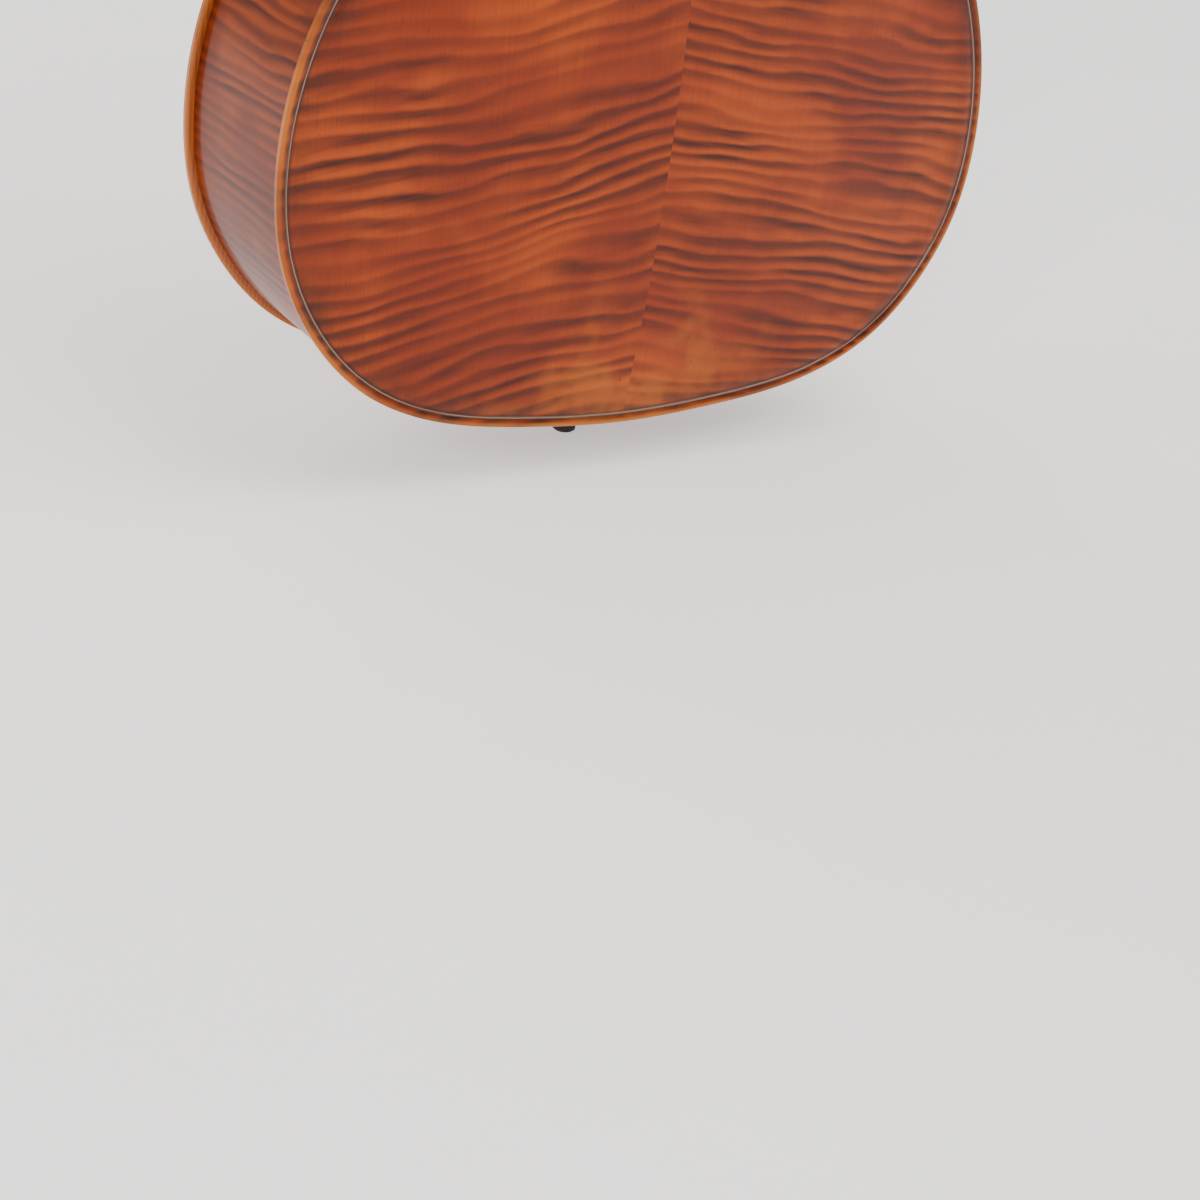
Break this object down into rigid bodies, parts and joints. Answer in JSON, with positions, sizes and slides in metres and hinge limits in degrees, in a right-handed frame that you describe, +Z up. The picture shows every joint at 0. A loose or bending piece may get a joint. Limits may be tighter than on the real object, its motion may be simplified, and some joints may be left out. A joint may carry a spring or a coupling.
{
  "type": "cello",
  "caption": "Full-size bowed string instrument with an arched, flamed two-piece back, carved scroll, tailpiece with built-in tuners and a retractable endpin.",
  "frame": {"origin": "centre of the endpin's rubber foot, with the endpin fully retracted", "axes": "+Z runs up the body from the endpin to the scroll, -Y is the front with the strings, +X is the treble side, where the thinnest string is"},
  "size_m": [0.44, 0.2592, 1.2341],
  "materials": {
    "maple": "glossy red-brown oil varnish over flamed maple",
    "spruce_varnished": "glossy orange-brown varnish over spruce",
    "purfling": "black-white-black inlay under varnish",
    "spruce_raw": "bare",
    "bridge_maple": "bare, lightly oiled",
    "ebony": "polished black",
    "cord": "braided synthetic cord",
    "string_steel": "wound steel",
    "brass": "plain",
    "rubber": "matte",
    "rod_steel": "ground steel",
    "nickel": "plated"
  },
  "bodies": {
    "body": {"back_half_treble": "maple", "back_half_bass": "maple", "back_purfling": "purfling", "top_half_treble": "spruce_varnished", "top_half_bass": "spruce_varnished", "top_purfling": "purfling", "rib_upper_bass": "maple", "rib_upper_treble": "maple", "rib_middle_bass": "maple", "rib_middle_treble": "maple", "rib_lower_bass": "maple", "rib_lower_treble": "maple", "linings_back": "spruce_raw", "linings_top": "spruce_raw", "upper_block": "spruce_raw", "lower_block": "spruce_raw", "corner_blocks": "spruce_raw", "bass_bar": "spruce_raw", "sound_post": "spruce_raw", "neck": "maple", "fingerboard": "ebony", "nut": "ebony", "saddle": "ebony", "bridge": "bridge_maple", "tailpiece": "ebony", "tuner_axle": "nickel", "tail_cord": "cord", "string_c": "string_steel", "string_g": "string_steel", "string_d": "string_steel", "string_a": "string_steel", "end_plug": "ebony", "endpin_ferrule": "nickel"},
    "peg_c": {"peg_c": "ebony", "winding_c": "string_steel"},
    "tuner_screw_c": {"tuner_screw_c": "nickel"},
    "tuner_lever_c": {"tuner_lever_c": "nickel", "string_ball_c": "brass"},
    "peg_g": {"peg_g": "ebony", "winding_g": "string_steel"},
    "tuner_screw_g": {"tuner_screw_g": "nickel"},
    "tuner_lever_g": {"tuner_lever_g": "nickel", "string_ball_g": "brass"},
    "peg_d": {"peg_d": "ebony", "winding_d": "string_steel"},
    "tuner_screw_d": {"tuner_screw_d": "nickel"},
    "tuner_lever_d": {"tuner_lever_d": "nickel", "string_ball_d": "brass"},
    "peg_a": {"peg_a": "ebony", "winding_a": "string_steel"},
    "tuner_screw_a": {"tuner_screw_a": "nickel"},
    "tuner_lever_a": {"tuner_lever_a": "nickel", "string_ball_a": "brass"},
    "endpin": {"endpin_rod": "rod_steel", "endpin_tip": "rubber"},
    "endpin_pad": {"endpin_pad": "brass"},
    "endpin_screw": {"endpin_screw": "nickel"}
  },
  "joints": [
    {"name": "peg_c_turn", "type": "hinge", "parent": "body", "child": "peg_c", "pos_m": [0, -0.01103, 1.08193], "axis": [-1, 0, 0], "continuous": true},
    {"name": "tuner_screw_c_turn", "type": "hinge", "parent": "body", "child": "tuner_screw_c", "pos_m": [-0.021, -0.13817, 0.23529], "axis": [0, -0.9632, -0.2689], "range_deg": [0, 2160]},
    {"name": "tuner_lever_c_tilt", "type": "hinge", "parent": "body", "child": "tuner_lever_c", "pos_m": [-0.021, -0.12992, 0.27082], "axis": [1, 0, 0], "range_deg": [0, 5.4]},
    {"name": "peg_g_turn", "type": "hinge", "parent": "body", "child": "peg_g", "pos_m": [0, 0.0116, 1.13095], "axis": [-1, 0, 0], "continuous": true},
    {"name": "tuner_screw_g_turn", "type": "hinge", "parent": "body", "child": "tuner_screw_g", "pos_m": [-0.007, -0.13817, 0.23529], "axis": [0, -0.9632, -0.2689], "range_deg": [0, 2160]},
    {"name": "tuner_lever_g_tilt", "type": "hinge", "parent": "body", "child": "tuner_lever_g", "pos_m": [-0.007, -0.12992, 0.27082], "axis": [1, 0, 0], "range_deg": [0, 5.4]},
    {"name": "peg_d_turn", "type": "hinge", "parent": "body", "child": "peg_d", "pos_m": [0, 0.02284, 1.15344], "axis": [1, 0, 0], "continuous": true},
    {"name": "tuner_screw_d_turn", "type": "hinge", "parent": "body", "child": "tuner_screw_d", "pos_m": [0.007, -0.13817, 0.23529], "axis": [0, -0.9632, -0.2689], "range_deg": [0, 2160]},
    {"name": "tuner_lever_d_tilt", "type": "hinge", "parent": "body", "child": "tuner_lever_d", "pos_m": [0.007, -0.12992, 0.27082], "axis": [1, 0, 0], "range_deg": [0, 5.4]},
    {"name": "peg_a_turn", "type": "hinge", "parent": "body", "child": "peg_a", "pos_m": [0, 0.00004, 1.10648], "axis": [1, 0, 0], "continuous": true},
    {"name": "tuner_screw_a_turn", "type": "hinge", "parent": "body", "child": "tuner_screw_a", "pos_m": [0.021, -0.13817, 0.23529], "axis": [0, -0.9632, -0.2689], "range_deg": [0, 2160]},
    {"name": "tuner_lever_a_tilt", "type": "hinge", "parent": "body", "child": "tuner_lever_a", "pos_m": [0.021, -0.12992, 0.27082], "axis": [1, 0, 0], "range_deg": [0, 5.4]},
    {"name": "endpin_slide", "type": "slide", "parent": "body", "child": "endpin", "axis": [0, 0, -1], "range_m": [0, 0.3]},
    {"name": "endpin_pad_slide", "type": "slide", "parent": "body", "child": "endpin_pad", "axis": [0, -1, 0], "range_m": [0, 0.003]},
    {"name": "endpin_screw_turn", "type": "hinge", "parent": "endpin_pad", "child": "endpin_screw", "pos_m": [0, -0.0145, 0.0205], "axis": [0, -1, 0], "range_deg": [0, 1081]}
  ],
  "couplings": [
    {"joint": "tuner_lever_c_tilt", "follows": "tuner_screw_c_turn", "ratio": 0.0024868},
    {"joint": "tuner_lever_g_tilt", "follows": "tuner_screw_g_turn", "ratio": 0.0024868},
    {"joint": "tuner_lever_d_tilt", "follows": "tuner_screw_d_turn", "ratio": 0.0024868},
    {"joint": "tuner_lever_a_tilt", "follows": "tuner_screw_a_turn", "ratio": 0.0024868},
    {"joint": "endpin_screw_turn", "follows": "endpin_pad_slide", "rad_per_m": 6283.2}
  ]
}
